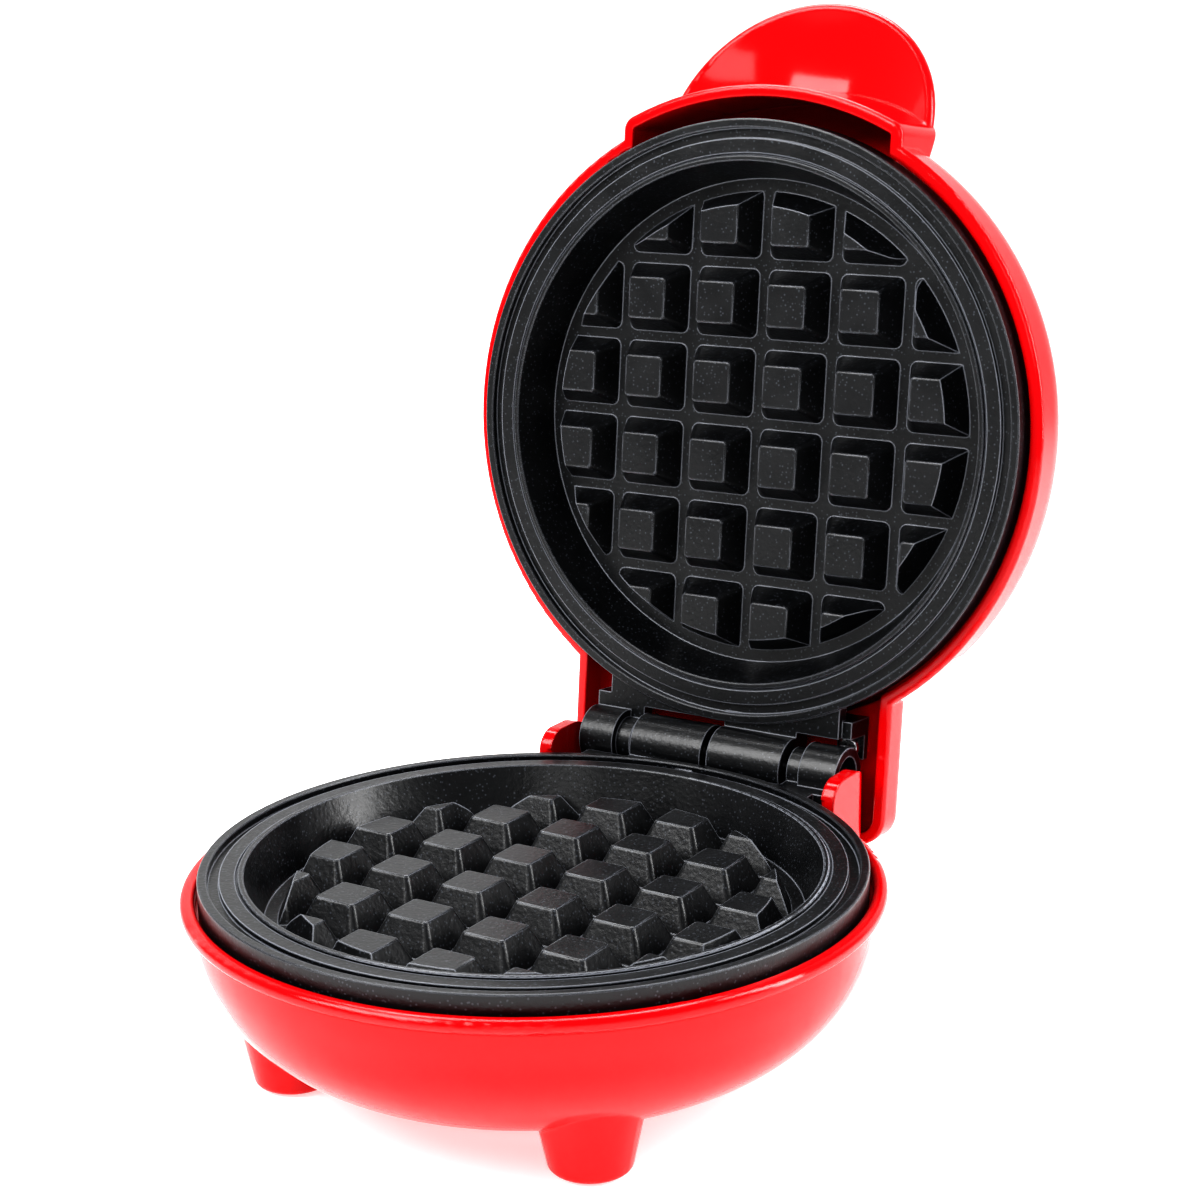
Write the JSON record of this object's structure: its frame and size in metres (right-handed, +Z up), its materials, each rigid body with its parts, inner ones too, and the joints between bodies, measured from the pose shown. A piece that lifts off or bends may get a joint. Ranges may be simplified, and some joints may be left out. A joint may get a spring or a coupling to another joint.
{
  "type": "mini waffle maker",
  "caption": "Small round clamshell waffle maker with a hinged lid, scooped lifting tab, square-pattern plates and short feet, standing open.",
  "frame": {"origin": "centre of the open part's bounding box, on the surface that its feet stand on", "axes": "+Z up, front towards -Y, hinge pin along X at the back"},
  "size_m": [0.1272, 0.1794, 0.1869],
  "materials": {
    "shell": "gloss",
    "casting": "non-stick coated",
    "pad": "matte",
    "tube": "satin",
    "ceramic": "matte",
    "steel": "satin",
    "shield": "bright rolled",
    "thermostat": "matte",
    "fuse": "satin",
    "lead": "braided glass sleeve",
    "bush": "matte",
    "lens": "clear",
    "lamp": "clear"
  },
  "bodies": {
    "base": {"base_shell": "shell", "foot_pads": "pad", "base_plate": "casting", "base_element": "tube", "base_element_beads": "ceramic", "base_element_pins": "steel", "base_heat_shield": "shield", "base_shield_screws": "steel", "base_plate_screw": "steel", "thermostat": "thermostat", "thermostat_screws": "steel", "thermal_fuse": "fuse", "fuse_clip": "shield", "terminal_block": "ceramic", "terminal_block_screws": "steel", "base_leads": "lead", "cord_gland": "bush", "hinge_pin": "steel", "pin_retainer": "steel"},
    "lid": {"lid_shell": "shell", "lid_plate": "casting", "lid_element": "tube", "lid_element_beads": "ceramic", "lid_element_pins": "steel", "lid_heat_shield": "shield", "lid_shield_screws": "steel", "lid_plate_screw": "steel", "indicator_lens": "lens", "indicator_lamp": "lamp", "lamp_holder": "ceramic", "lid_leads": "lead"}
  },
  "joints": [
    {"name": "lid_hinge", "type": "hinge", "parent": "base", "child": "lid", "pos_m": [0, 0.0412, 0.0387], "axis": [1, 0, 0], "range_deg": [0, 96]}
  ]
}
